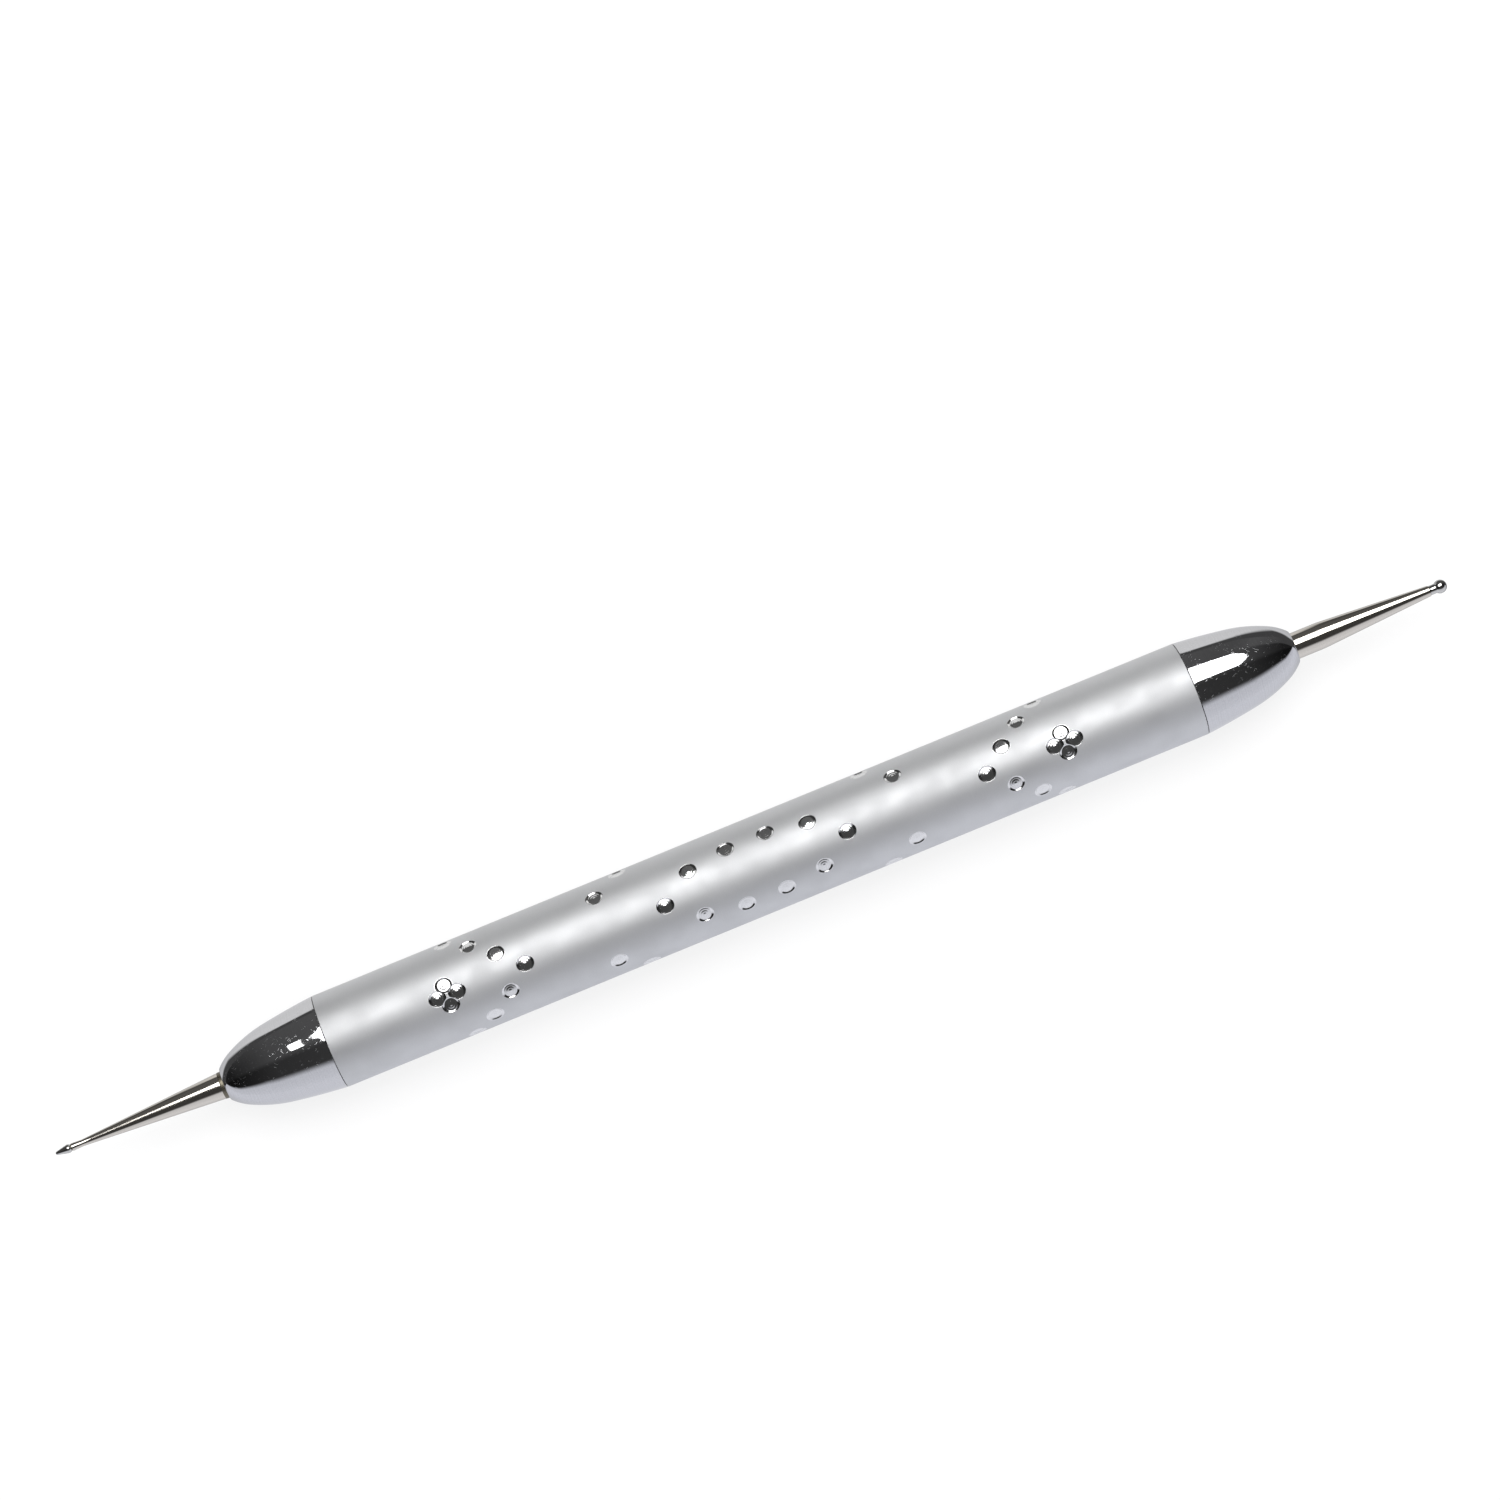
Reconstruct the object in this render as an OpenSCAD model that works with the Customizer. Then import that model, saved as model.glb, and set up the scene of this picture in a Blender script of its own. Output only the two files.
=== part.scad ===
// Double-ended embossing stylus: a satin barrel figured with polished pockets, a bullet nose
// screwed into each end, and a tapered shank in each nose, one with a ball tip and one with a
// teardrop tip. It lies along X with the teardrop at -X and the ball at +X. Millimetres, +Z up,
// origin under the middle of the whole length, at the surface that the barrel rests on.

/* [Barrel] */
// Outside diameter of the barrel
barrel_d = 8.5; // [7.9:0.1:9]
// Length of the barrel between its two end faces
barrel_len = 81; // [72:0.5:110]
// Diameter of the bore that runs through the barrel
barrel_bore_d = 6.6; // [6.2:0.1:7]
// Chamfer on the outer edge of each end of the barrel
barrel_edge = 0.1; // [0.05:0.05:0.3]

/* [Pockets] */
// Diameter of a pocket where it meets the barrel's surface
pocket_d = 1.57; // [1.2:0.01:1.7]
// Depth of a pocket at the edge of its floor
pocket_depth = 0.13; // [0.1:0.01:0.2]
// Width of the sloping wall round a pocket's floor
pocket_wall = 0.21; // [0.1:0.01:0.35]
// How far the cutter leaves the middle of a pocket's floor standing above the floor's edge
pocket_crown = 0.07; // [0:0.01:0.08]
// Diameter of the flat pip at the very middle of a pocket's floor
pocket_pip_d = 0.06; // [0.04:0.01:0.1]
// Distance of the figure's middle from the middle of the barrel
figure_shift = -0.56; // [-2:0.01:2]
// Number of times that the figure repeats round the barrel
figure_faces = 2; // [1:1:2]

/* [Loop in the middle of the figure] */
// Half length of the oval that the loop's pockets lie on
loop_half_len = 8.5; // [7.5:0.1:9.5]
// Half width of the oval, measured round the barrel
loop_half_width = 2.8; // [2.4:0.1:3.2]
// Spacing along the barrel of the pockets on the oval's two sides
loop_pitch = 3.72; // [3.4:0.01:3.8]

/* [Bows beside the loop] */
// Distance from the figure's middle to the inmost point of a bow
bow_reach = 11.05; // [10.5:0.05:11.5]
// How far a bow has bent away from the middle at its outer pocket
bow_bend = 2.9; // [2.2:0.1:3.4]
// Angle round the barrel between one pocket of a bow and the next
bow_step = 31; // [28:0.5:32]

/* [Chevrons] */
// Distance from the figure's middle to the pocket at a chevron's point
chevron_reach = 21.55; // [19.5:0.05:22]
// Spacing of a chevron's pockets along the barrel
chevron_pitch = 2.05; // [1.8:0.05:2.2]
// Angle round the barrel between one pocket of a chevron and the next
chevron_step = 24.3; // [23:0.1:24.5]

/* [Clovers] */
// Distance from the figure's middle to the middle of a clover
clover_reach = 28.8; // [28:0.1:30]
// Distance from the middle of a clover to the middle of each of its four pockets
clover_spread = 0.9; // [0.85:0.01:1]

/* [Nose] */
// Length of a nose from its shoulder to its mouth
nose_len = 9.75; // [9.3:0.05:10.4]
// Diameter of the flat ring round a nose's mouth
mouth_d = 2.9; // [2.8:0.1:3.2]
// Slope of a nose's side where it leaves the barrel, in degrees
seam_angle = 5.25; // [4.5:0.05:6]
// Slope where the long side curve passes into the shoulder curve, in degrees
shoulder_angle = 9.4; // [9:0.1:10]
// Slope where the shoulder curve passes into the tip curve, in degrees
tip_angle = 26.4; // [25:0.1:28]
// Slope where the tip curve meets the mouth, in degrees
mouth_angle = 46.5; // [45:0.1:48]
// Radius of the curve next to the mouth
tip_curve_r = 5; // [4.5:0.1:5.4]
// Gap of the parting line between a nose and the barrel
seam_gap = 0.1; // [0.05:0.01:0.2]

/* [Thread and bush] */
// Outside diameter of the screwed spigot behind a nose
spigot_d = 4.9; // [4.6:0.1:5.2]
// Length of the spigot
spigot_len = 8; // [6:0.1:9]
// Diameter of the neck between the spigot's thread and the shoulder
relief_d = 4.1; // [3.8:0.1:4.3]
// Length of that neck
relief_len = 1; // [0.6:0.1:1.6]
// Chamfer on the inner end of the spigot
spigot_edge = 0.5; // [0.2:0.1:0.7]
// Running clearance of the spigot in its bush, on the radius
thread_clearance = 0.05; // [0.02:0.01:0.1]
// Length of the bush that the spigot screws into
bush_len = 9.6; // [9.4:0.1:12]
// Depth of the bush behind the barrel's end face
bush_recess = 0.3; // [0.1:0.1:0.6]
// Chamfer at the mouth of the bush
bush_edge = 0.4; // [0.2:0.1:0.6]
// Gap of the press or glue joints, on the radius
joint_gap = 0.01; // [0:0.01:0.03]

/* [Shanks] */
// Diameter of both shanks
shank_d = 2.4; // [2.1:0.1:2.6]
// Slope of a shank's taper, in degrees
taper_angle = 3.93; // [3.8:0.01:4.4]
// Distance from a shank's inner end to the inner end of its spigot
shank_inset = 0.4; // [0:0.1:1]
// Chamfer on the inner end of a shank
shank_edge = 0.25; // [0.1:0.05:0.4]

/* [Ball end] */
// Distance from the nose's mouth to the far side of the ball
ball_reach = 14.5; // [13.5:0.1:18]
// Diameter of the ball
ball_d = 1.22; // [1.1:0.01:1.5]
// Diameter of the neck behind the ball
ball_neck_d = 0.86; // [0.7:0.01:0.95]
// Length of that neck that shows
ball_neck_len = 0.6; // [0.4:0.05:1]
// Diameter of the shank where the neck leaves it
ball_shank_end_d = 0.98; // [0.96:0.01:1.2]

/* [Teardrop end] */
// Distance from the nose's mouth to the point of the teardrop
drop_reach = 15.88; // [15.2:0.1:19]
// Diameter of the teardrop at its widest
drop_d = 0.78; // [0.72:0.01:1]
// Diameter of the rounded point of the teardrop
drop_point_d = 0.32; // [0.24:0.01:0.4]
// Length of the teardrop
drop_len = 1.42; // [1.2:0.01:1.8]
// Diameter of the groove behind the teardrop
drop_groove_d = 0.56; // [0.5:0.01:0.6]
// Width of that groove
drop_groove_len = 0.08; // [0.05:0.01:0.15]
// Diameter of the shank at its thinnest
drop_neck_d = 0.6; // [0.56:0.01:0.66]
// Diameter that the shank flares out to where the tip leaves it
drop_flare_d = 0.7; // [0.67:0.01:0.8]
// Length of the flare
drop_flare_len = 1; // [0.6:0.1:1.4]

/* [Tip pins] */
// Diameter of the pin that holds a tip in its shank
pin_d = 0.36; // [0.3:0.01:0.4]
// Length of the pin
pin_len = 1.6; // [1:0.1:2.5]

/* [Hidden] */
$fn = 96;

TEARDROP = -1;
BALL = 1;

// How far the tool that cuts a hole runs past the face it starts from
overrun = 1;

barrel_r = barrel_d / 2;
shank_r = shank_d / 2;
nose_reach = seam_gap + nose_len;
overall_len = drop_reach + ball_reach + 2 * nose_reach + barrel_len;
teardrop_face_x = -overall_len / 2 + drop_reach + nose_reach;
ball_face_x = teardrop_face_x + barrel_len;
figure_x = (teardrop_face_x + ball_face_x) / 2 + figure_shift;

// A nose's side is three arcs, each tangent to the next. Its length and its drop from the
// barrel's radius to the mouth's fix the radii of the first two, once the third is chosen.
nose_angles = [seam_angle, shoulder_angle, tip_angle, mouth_angle];
nose_runs = [for (i = [0:2]) sin(nose_angles[i + 1]) - sin(nose_angles[i])];
nose_drops = [for (i = [0:2]) cos(nose_angles[i]) - cos(nose_angles[i + 1])];
run_left = nose_len - tip_curve_r * nose_runs[2];
drop_left = barrel_r - mouth_d / 2 - tip_curve_r * nose_drops[2];
arc_det = nose_runs[0] * nose_drops[1] - nose_runs[1] * nose_drops[0];
side_curve_r = (run_left * nose_drops[1] - drop_left * nose_runs[1]) / arc_det;
shoulder_curve_r = (drop_left * nose_runs[0] - run_left * nose_drops[0]) / arc_det;
nose_radii = [side_curve_r, shoulder_curve_r, tip_curve_r];

// Where each arc of a nose starts, as [radius, distance from the barrel's end face]
arc_start_1 = [barrel_r, seam_gap];
arc_start_2 = arc_start_1 + side_curve_r * [-nose_drops[0], nose_runs[0]];
arc_start_3 = arc_start_2 + shoulder_curve_r * [-nose_drops[1], nose_runs[1]];
arc_starts = [arc_start_1, arc_start_2, arc_start_3, [mouth_d / 2, nose_reach]];

// Distances along a shank, from the barrel's end face outwards
shank_back = -spigot_len + shank_inset;
ball_z = nose_reach + ball_reach - ball_d / 2;
ball_neck_end = ball_z - sqrt(pow(ball_d / 2, 2) - pow(ball_neck_d / 2, 2));
ball_shank_end = ball_neck_end - ball_neck_len;
drop_tip_z = nose_reach + drop_reach;
drop_shank_end = drop_tip_z - drop_len - drop_groove_len;
drop_neck_z = drop_shank_end - drop_flare_len;

// Turns a shape that stands on Z to lie along X, at one end of the barrel and pointing away
// from it, with Z = 0 at the barrel's end face
module at_end(end) {
    face_x = end == BALL ? ball_face_x : teardrop_face_x;
    translate([face_x, 0, barrel_r])
        mirror([end == BALL ? 0 : 1, 0, 0])
            rotate([0, 90, 0])
                children();
}

// Barrel with its pockets

// Tool for one pocket, x along the barrel from the figure's middle and turn degrees round it
// from the top: a low blunt cone for the crowned floor, and a wall that runs out through the
// surface
module pocket(x, turn) {
    floor_r = pocket_d / 2 - pocket_wall;
    rise = pocket_depth / 2;
    top_r = pocket_d / 2 + pocket_wall * rise / pocket_depth;
    rotate([turn, 0, 0])
        translate([x, 0, barrel_r])
            rotate_extrude()
                polygon([
                    [0, pocket_crown - pocket_depth],
                    [pocket_pip_d / 2, pocket_crown - pocket_depth],
                    [floor_r, -pocket_depth],
                    [top_r, rise],
                    [0, rise]
                ]);
}

function arc_degrees(width) = width / barrel_r * 180 / PI;

// Four pockets that overlap into a clover
module clover(x) {
    for (side = [-1, 1]) {
        pocket(x + side * clover_spread, 0);
        pocket(x, side * arc_degrees(clover_spread));
    }
}

// Arms of pockets that run back from a point on the top line, each down one side
module chevron(dir) {
    pocket(dir * chevron_reach, 0);
    for (k = [1:3], side = [-1, 1])
        pocket(dir * (chevron_reach + k * chevron_pitch), side * k * chevron_step);
}

// Closed loop of ten pockets on an oval: one at each end, and four down each side
module loop() {
    for (end = [-1, 1]) {
        pocket(end * loop_half_len, 0);
        for (k = [0.5, 1.5], side = [-1, 1]) {
            x = k * loop_pitch;
            width = loop_half_width * sqrt(1 - pow(x / loop_half_len, 2));
            pocket(end * x, side * arc_degrees(width));
        }
    }
}

// Bow of four pockets across the side of the barrel, bent away from the figure's middle
module bow(dir) {
    for (k = [-1.5, -0.5, 0.5, 1.5])
        pocket(dir * (bow_reach + bow_bend * pow(k / 1.5, 2)), 90 + k * bow_step);
}

module figure() {
    loop();
    for (dir = [-1, 1]) {
        clover(dir * clover_reach);
        chevron(dir);
        bow(dir);
    }
}

// The figure, repeated round the barrel
module pockets() {
    translate([figure_x, 0, barrel_r])
        for (face = [0:figure_faces - 1])
            rotate([face * 360 / figure_faces, 0, 0])
                figure();
}

module barrel_blank() {
    translate([teardrop_face_x, 0, barrel_r])
        rotate([0, 90, 0])
            difference() {
                rotate_extrude()
                    polygon([
                        [0, 0],
                        [barrel_r - barrel_edge, 0],
                        [barrel_r, barrel_edge],
                        [barrel_r, barrel_len - barrel_edge],
                        [barrel_r - barrel_edge, barrel_len],
                        [0, barrel_len]
                    ]);
                translate([0, 0, -overrun])
                    cylinder(d = barrel_bore_d, h = barrel_len + 2 * overrun);
            }
}

module barrel() {
    color([0.80, 0.81, 0.83])
        difference() {
            barrel_blank();
            pockets();
        }
}

// Threaded bushes pressed into the barrel's bore

module bush(end) {
    bush_r = barrel_bore_d / 2 - joint_gap;
    hole_r = spigot_d / 2 + thread_clearance;
    front = -bush_recess;
    back = front - bush_len;
    color([0.78, 0.62, 0.32])
        at_end(end)
            rotate_extrude()
                polygon([
                    [hole_r, back],
                    [bush_r, back],
                    [bush_r, front],
                    [hole_r + bush_edge, front],
                    [hole_r, front - bush_edge]
                ]);
}

// Bullet noses, each with the spigot that screws into a bush

// One arc of a nose's side, filled in to the axis
module nose_arc(i) {
    start = arc_starts[i];
    next = arc_starts[i + 1];
    radius = nose_radii[i];
    middle = start - radius * [cos(nose_angles[i]), sin(nose_angles[i])];
    intersection() {
        translate(middle)
            circle(r = radius, $fn = 360);
        translate([0, start[1]])
            square([barrel_r, next[1] - start[1]]);
    }
}

module nose(end) {
    spigot_r = spigot_d / 2;
    color([0.72, 0.72, 0.74])
        at_end(end)
            difference() {
                union() {
                    rotate_extrude() {
                        for (i = [0:2])
                            nose_arc(i);
                    }
                    rotate_extrude()
                        polygon([
                            [0, -spigot_len],
                            [spigot_r - spigot_edge, -spigot_len],
                            [spigot_r, -spigot_len + spigot_edge],
                            [spigot_r, -relief_len],
                            [relief_d / 2, -relief_len + (spigot_d - relief_d) / 2],
                            [relief_d / 2, arc_start_2[1]],
                            [0, arc_start_2[1]]
                        ]);
                }
                translate([0, 0, -spigot_len - overrun])
                    cylinder(r = shank_r + joint_gap, h = nose_reach + spigot_len + 2 * overrun);
            }
}

// Tapered shanks, each with a pin hole in its end for the tip

// A shank turned to a taper that ends at the first point of its front, which is given as
// points [radius, distance from the barrel's end face]
module shank_blank(front) {
    taper_z = front[0][1] - (shank_r - front[0][0]) / tan(taper_angle);
    back = [
        [0, shank_back],
        [shank_r - shank_edge, shank_back],
        [shank_r, shank_back + shank_edge],
        [shank_r, taper_z]
    ];
    rotate_extrude()
        polygon(concat(back, front));
}

module pin_hole(end_z) {
    translate([0, 0, end_z - pin_len - 2 * joint_gap])
        cylinder(r = pin_d / 2 + joint_gap, h = pin_len + overrun);
}

module shank_ball_end() {
    color([0.66, 0.65, 0.62])
        at_end(BALL)
            difference() {
                shank_blank([
                    [ball_shank_end_d / 2, ball_shank_end],
                    [0, ball_shank_end]
                ]);
                pin_hole(ball_shank_end);
            }
}

module shank_teardrop_end() {
    color([0.66, 0.65, 0.62])
        at_end(TEARDROP)
            difference() {
                shank_blank([
                    [drop_neck_d / 2, drop_neck_z],
                    [drop_flare_d / 2, drop_shank_end],
                    [0, drop_shank_end]
                ]);
                pin_hole(drop_shank_end);
            }
}

// Working tips, each brazed into its shank by a pin

// Pin that starts inside a shank's end and runs on to root_z, inside the tip
module tip_pin(end_z, root_z) {
    translate([0, 0, end_z - pin_len])
        cylinder(d = pin_d, h = pin_len + root_z - end_z);
}

module ball_tip() {
    color([0.60, 0.60, 0.60])
        at_end(BALL) {
            tip_pin(ball_shank_end, ball_z);
            translate([0, 0, ball_shank_end])
                cylinder(d = ball_neck_d, h = ball_z - ball_shank_end);
            translate([0, 0, ball_z])
                sphere(d = ball_d);
        }
}

// A large ball and a small one joined by the cone that touches both
module teardrop_tip() {
    big_r = drop_d / 2;
    small_r = drop_point_d / 2;
    small_z = drop_tip_z - small_r;
    big_z = drop_tip_z - drop_len + sqrt(pow(big_r, 2) - pow(drop_groove_d / 2, 2));
    lean = asin((big_r - small_r) / (small_z - big_z));
    color([0.60, 0.60, 0.60])
        at_end(TEARDROP) {
            tip_pin(drop_shank_end, big_z);
            translate([0, 0, drop_shank_end])
                cylinder(d = drop_groove_d, h = big_z - drop_shank_end);
            translate([0, 0, big_z])
                sphere(r = big_r);
            translate([0, 0, small_z])
                sphere(r = small_r);
            rotate_extrude()
                polygon([
                    [0, big_z],
                    [big_r * cos(lean), big_z + big_r * sin(lean)],
                    [small_r * cos(lean), small_z + small_r * sin(lean)],
                    [0, small_z]
                ]);
        }
}

barrel();
bush(TEARDROP);  // bush_teardrop_end
bush(BALL);  // bush_ball_end
nose(TEARDROP);  // nose_teardrop_end
nose(BALL);  // nose_ball_end
shank_teardrop_end();
shank_ball_end();
teardrop_tip();
ball_tip();
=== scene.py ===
"""Double-ended embossing stylus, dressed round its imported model.

The tool lies along X on a pale floor: a satin barrel with mirror-cut pockets, a chromed bullet
nose screwed into each end, a tapered steel shank in each nose, and a ball or teardrop tip.
Sizes in the classes are millimetres, and the meshes are made in metres, in the model's frame.
"""

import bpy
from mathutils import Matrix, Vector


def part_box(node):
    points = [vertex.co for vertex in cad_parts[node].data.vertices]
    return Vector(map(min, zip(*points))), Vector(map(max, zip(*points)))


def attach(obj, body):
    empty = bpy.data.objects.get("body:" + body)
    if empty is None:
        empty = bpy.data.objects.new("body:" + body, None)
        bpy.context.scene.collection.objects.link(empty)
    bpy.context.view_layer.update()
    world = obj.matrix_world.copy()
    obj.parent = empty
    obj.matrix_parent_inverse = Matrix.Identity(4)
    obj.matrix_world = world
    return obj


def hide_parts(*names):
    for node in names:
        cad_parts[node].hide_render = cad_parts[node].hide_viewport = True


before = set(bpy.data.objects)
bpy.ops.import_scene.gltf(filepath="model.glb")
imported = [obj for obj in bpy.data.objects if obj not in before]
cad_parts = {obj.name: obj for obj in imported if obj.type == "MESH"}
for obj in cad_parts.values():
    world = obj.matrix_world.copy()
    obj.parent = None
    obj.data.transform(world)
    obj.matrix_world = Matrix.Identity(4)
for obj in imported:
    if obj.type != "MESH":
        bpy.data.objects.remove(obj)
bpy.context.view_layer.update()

import logging
from dataclasses import dataclass
from enum import Enum
from functools import cached_property, reduce
from math import pi, radians

import bpy
import numpy as np
from mathutils import Matrix, Vector
from mathutils.geometry import delaunay_2d_cdt

Array = np.ndarray
Blocks = list[tuple[Array, int]]
Node, Socket, Tree = bpy.types.Node, bpy.types.NodeSocket, bpy.types.NodeTree
Piece = bpy.types.Object
Pair = tuple[float, float]

MM = 0.001
AXIS_Z = 4.25
log = logging.getLogger("stylus")


class End(Enum):
    """The two ends of the tool, by the way that each points along X."""

    TEARDROP = -1
    BALL = 1

    @property
    def tag(self) -> str:
        """Returns the ending that this end's nodes have in their names."""
        return f"{self.name.lower()}_end"

    @property
    def body(self) -> str:
        """Returns the body that unscrews at this end."""
        return f"{self.name.lower()}_head"

    def face_x(self) -> float:
        """Returns where the barrel ends, in millimetres along X."""
        low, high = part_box("barrel")
        return (high.x if self is End.BALL else low.x) / MM


# ---- Meshes


def placed(name: str, data: bpy.types.ID) -> Piece:
    """Makes an object and puts it into the scene.

    Args:
        name: Name of the object.
        data: Its mesh or camera.

    Returns:
        The object.
    """
    thing = bpy.data.objects.new(name, data)
    bpy.context.scene.collection.objects.link(thing)
    return thing


def make_piece(name: str, points: Array, blocks: Blocks, finishes: list["Finish"],
               crease: float = 35.0) -> Piece:
    """Puts computed points and faces into one smooth-shaded mesh object.

    Args:
        name: Name of the piece.
        points: Rows of x, y and z in millimetres.
        blocks: Arrays of faces, each with the number of the finish that it wears.
        finishes: The finishes, in the order of those numbers.
        crease: Angle between faces, in degrees, past which an edge stays sharp.

    Returns:
        The object, at the origin.
    """
    mesh = bpy.data.meshes.new(name)
    faces = [row for block, _ in blocks for row in block.tolist()]
    mesh.from_pydata((points * MM).tolist(), [], faces)
    worn = np.concatenate([np.full(len(block), number) for block, number in blocks])
    mesh.polygons.foreach_set("material_index", worn.astype(np.int32))
    mesh.polygons.foreach_set("use_smooth", np.ones(len(worn), dtype=bool))
    for finish in finishes:
        mesh.materials.append(finish.material())
    mesh.set_sharp_from_angle(angle=radians(crease))
    mesh.update()
    return placed(name, mesh)


def on_axis(along: Array, angle: Array, radius: Array) -> Array:
    """Puts points round the tool's axis, at angles that turn from +Z towards -Y.

    y = -radius sin(angle), z = axis height + radius cos(angle).
    """
    along, angle, radius = np.broadcast_arrays(along, angle, radius)
    return np.stack([along, -radius * np.sin(angle), AXIS_Z + radius * np.cos(angle)], -1)


def wrapped(angle: Array) -> Array:
    """Brings angles to within half a turn of zero."""
    return np.mod(angle + pi, 2 * pi) - pi


def corner(before: Array, at: Array, after: Array, steps: int = 5) -> Array:
    """Rounds a corner of an outline with a parabola.

    The point at t is (1-t)^2 before + 2t(1-t) at + t^2 after.

    Args:
        before: Point [along, radius] where the rounding starts.
        at: The corner itself.
        after: Point where the rounding ends.
        steps: Number of points.

    Returns:
        Rows of [along, radius].
    """
    t = np.linspace(0, 1, steps)[:, None]
    before, at, after = (np.asarray(p, float) for p in (before, at, after))
    return (1 - t) ** 2 * before + 2 * t * (1 - t) * at + t ** 2 * after


def arc(middle: float, radius: float, sweep: Array) -> Array:
    """Draws an arc round a point on the axis, from angles that open from the barrel's side."""
    return np.stack([middle - radius * np.cos(sweep), radius * np.sin(sweep)], -1)


def strip(rows: Array) -> Array:
    """Joins each row of point numbers to the next with quads, round and back to the start."""
    here, there = rows[:-1], rows[1:]
    return np.stack([here, np.roll(here, -1, 1), np.roll(there, -1, 1), there], -1)


def joined(parts: list[tuple[Array, Blocks]]) -> tuple[Array, Blocks]:
    """Puts several sets of points and faces together as one.

    Args:
        parts: Points and blocks of each.

    Returns:
        All points, and all blocks with their point numbers moved up.
    """
    offsets = np.cumsum([0] + [len(points) for points, _ in parts])
    blocks = [(faces + start, finish) for start, (_, own) in zip(offsets, parts)
              for faces, finish in own]
    return np.concatenate([points for points, _ in parts]), blocks


class Outline:
    """The outline of a turned piece, drawn run by run as points [distance along, radius].

    The distance is measured outwards from the barrel's end face, and the material lies on the
    right of the line as it is drawn with the radius up.
    """

    def __init__(self, closed: bool = False) -> None:
        """Starts an empty outline, which comes back to its first point if it is closed."""
        self.closed = closed
        self.runs: list[Array] = []
        self.worn: list[Array] = []

    def run(self, points: Array, finish: int = 0) -> "Outline":
        """Adds points, and gives a finish to the faces that follow each of them.

        Args:
            points: Rows of [along, radius].
            finish: Number of the finish.

        Returns:
            The outline itself.
        """
        rows = np.atleast_2d(np.asarray(points, float))
        self.runs.append(rows)
        self.worn.append(np.full(len(rows), finish))
        return self

    def turned(self, end: End, segments: int) -> tuple[Array, Blocks]:
        """Turns the outline about the tool's axis.

        Point i, j is outline point i at angle 2 pi j / segments, and a point on the axis is
        made once. Faces join the neighbours in i and j.

        Args:
            end: The end of the tool that the piece belongs to.
            segments: Number of steps round the axis.

        Returns:
            The points in millimetres, and the blocks of faces with their finishes.
        """
        rows, worn = np.concatenate(self.runs), np.concatenate(self.worn)
        pole = rows[:, 1] < 1e-9
        angle = 2 * pi * np.arange(segments) / segments
        grid = on_axis(end.face_x() + end.value * rows[:, :1], angle[None], rows[:, 1:])
        kept = ~pole[:, None] | (np.arange(segments) == 0)
        number = np.cumsum(kept.ravel()).reshape(kept.shape) - 1
        number = np.where(pole[:, None], number[:, :1], number)
        if self.closed:
            number, pole, worn = (np.concatenate([a, a[:1]]) for a in (number, pole, worn))
        # a quad at a pole names one point twice, so three of its corners make the face
        quads, first, last = strip(number), [0, 2, 3], [0, 1, 2]
        if end is End.TEARDROP:
            quads, first, last = quads[..., ::-1], [0, 1, 3], [0, 2, 3]
        blocks: Blocks = []
        for wanted in np.unique(worn[:-1]):
            chosen = worn[:-1] == wanted
            sets = (quads[chosen & ~pole[:-1] & ~pole[1:]],
                    quads[chosen & pole[:-1]][..., first], quads[chosen & pole[1:]][..., last])
            blocks += [(faces.reshape(-1, faces.shape[-1]), int(wanted))
                       for faces in sets if faces.size]
        return grid[kept], blocks


@dataclass(frozen=True)
class Thread:
    """One helical ridge, a trapezium carried along a helix on the tool's axis."""

    start: float
    length: float
    root_r: float
    crest_r: float
    finish: int = 0
    pitch: float = 0.8
    crest_width: float = 0.1
    root_width: float = 0.62
    fade_turns: float = 0.4
    steps_a_turn: int = 60

    def swept(self, end: End) -> tuple[Array, Blocks]:
        """Carries the trapezium along the helix.

        At t turns the ridge stands at angle 2 pi t and at start + pitch t along X, which is a
        right-hand thread, and its height grows from nothing in the first part of a turn and
        dies away in the last.

        Args:
            end: The end of the tool that the thread belongs to.

        Returns:
            The points in millimetres and one block of faces.
        """
        turns = self.length / self.pitch
        count = int(turns * self.steps_a_turn)
        t = np.linspace(0, turns, count)[:, None]
        height = np.clip(np.minimum(t, turns - t) / self.fade_turns, 0, 1)
        root, crest = self.root_width / 2, self.crest_width / 2
        nearest = min(end.value * self.start, end.value * (self.start + self.length))
        x = end.face_x() + nearest + self.pitch * t + np.array([-root, -crest, crest, root])
        radius = self.root_r + (self.crest_r - self.root_r) * (np.array([0, 1, 1, 0]) * height)
        points = on_axis(x, 2 * pi * t, radius).reshape(-1, 3)
        number = np.arange(count * 4).reshape(count, 4)
        sides = strip(number)[..., [0, 3, 2, 1]].reshape(-1, 4)
        faces = np.concatenate([sides, [number[0], number[-1][::-1]]])
        if self.crest_r < self.root_r:
            faces = faces[:, ::-1]
        return points, [(faces, self.finish)]


# ---- Shader nodes


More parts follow.
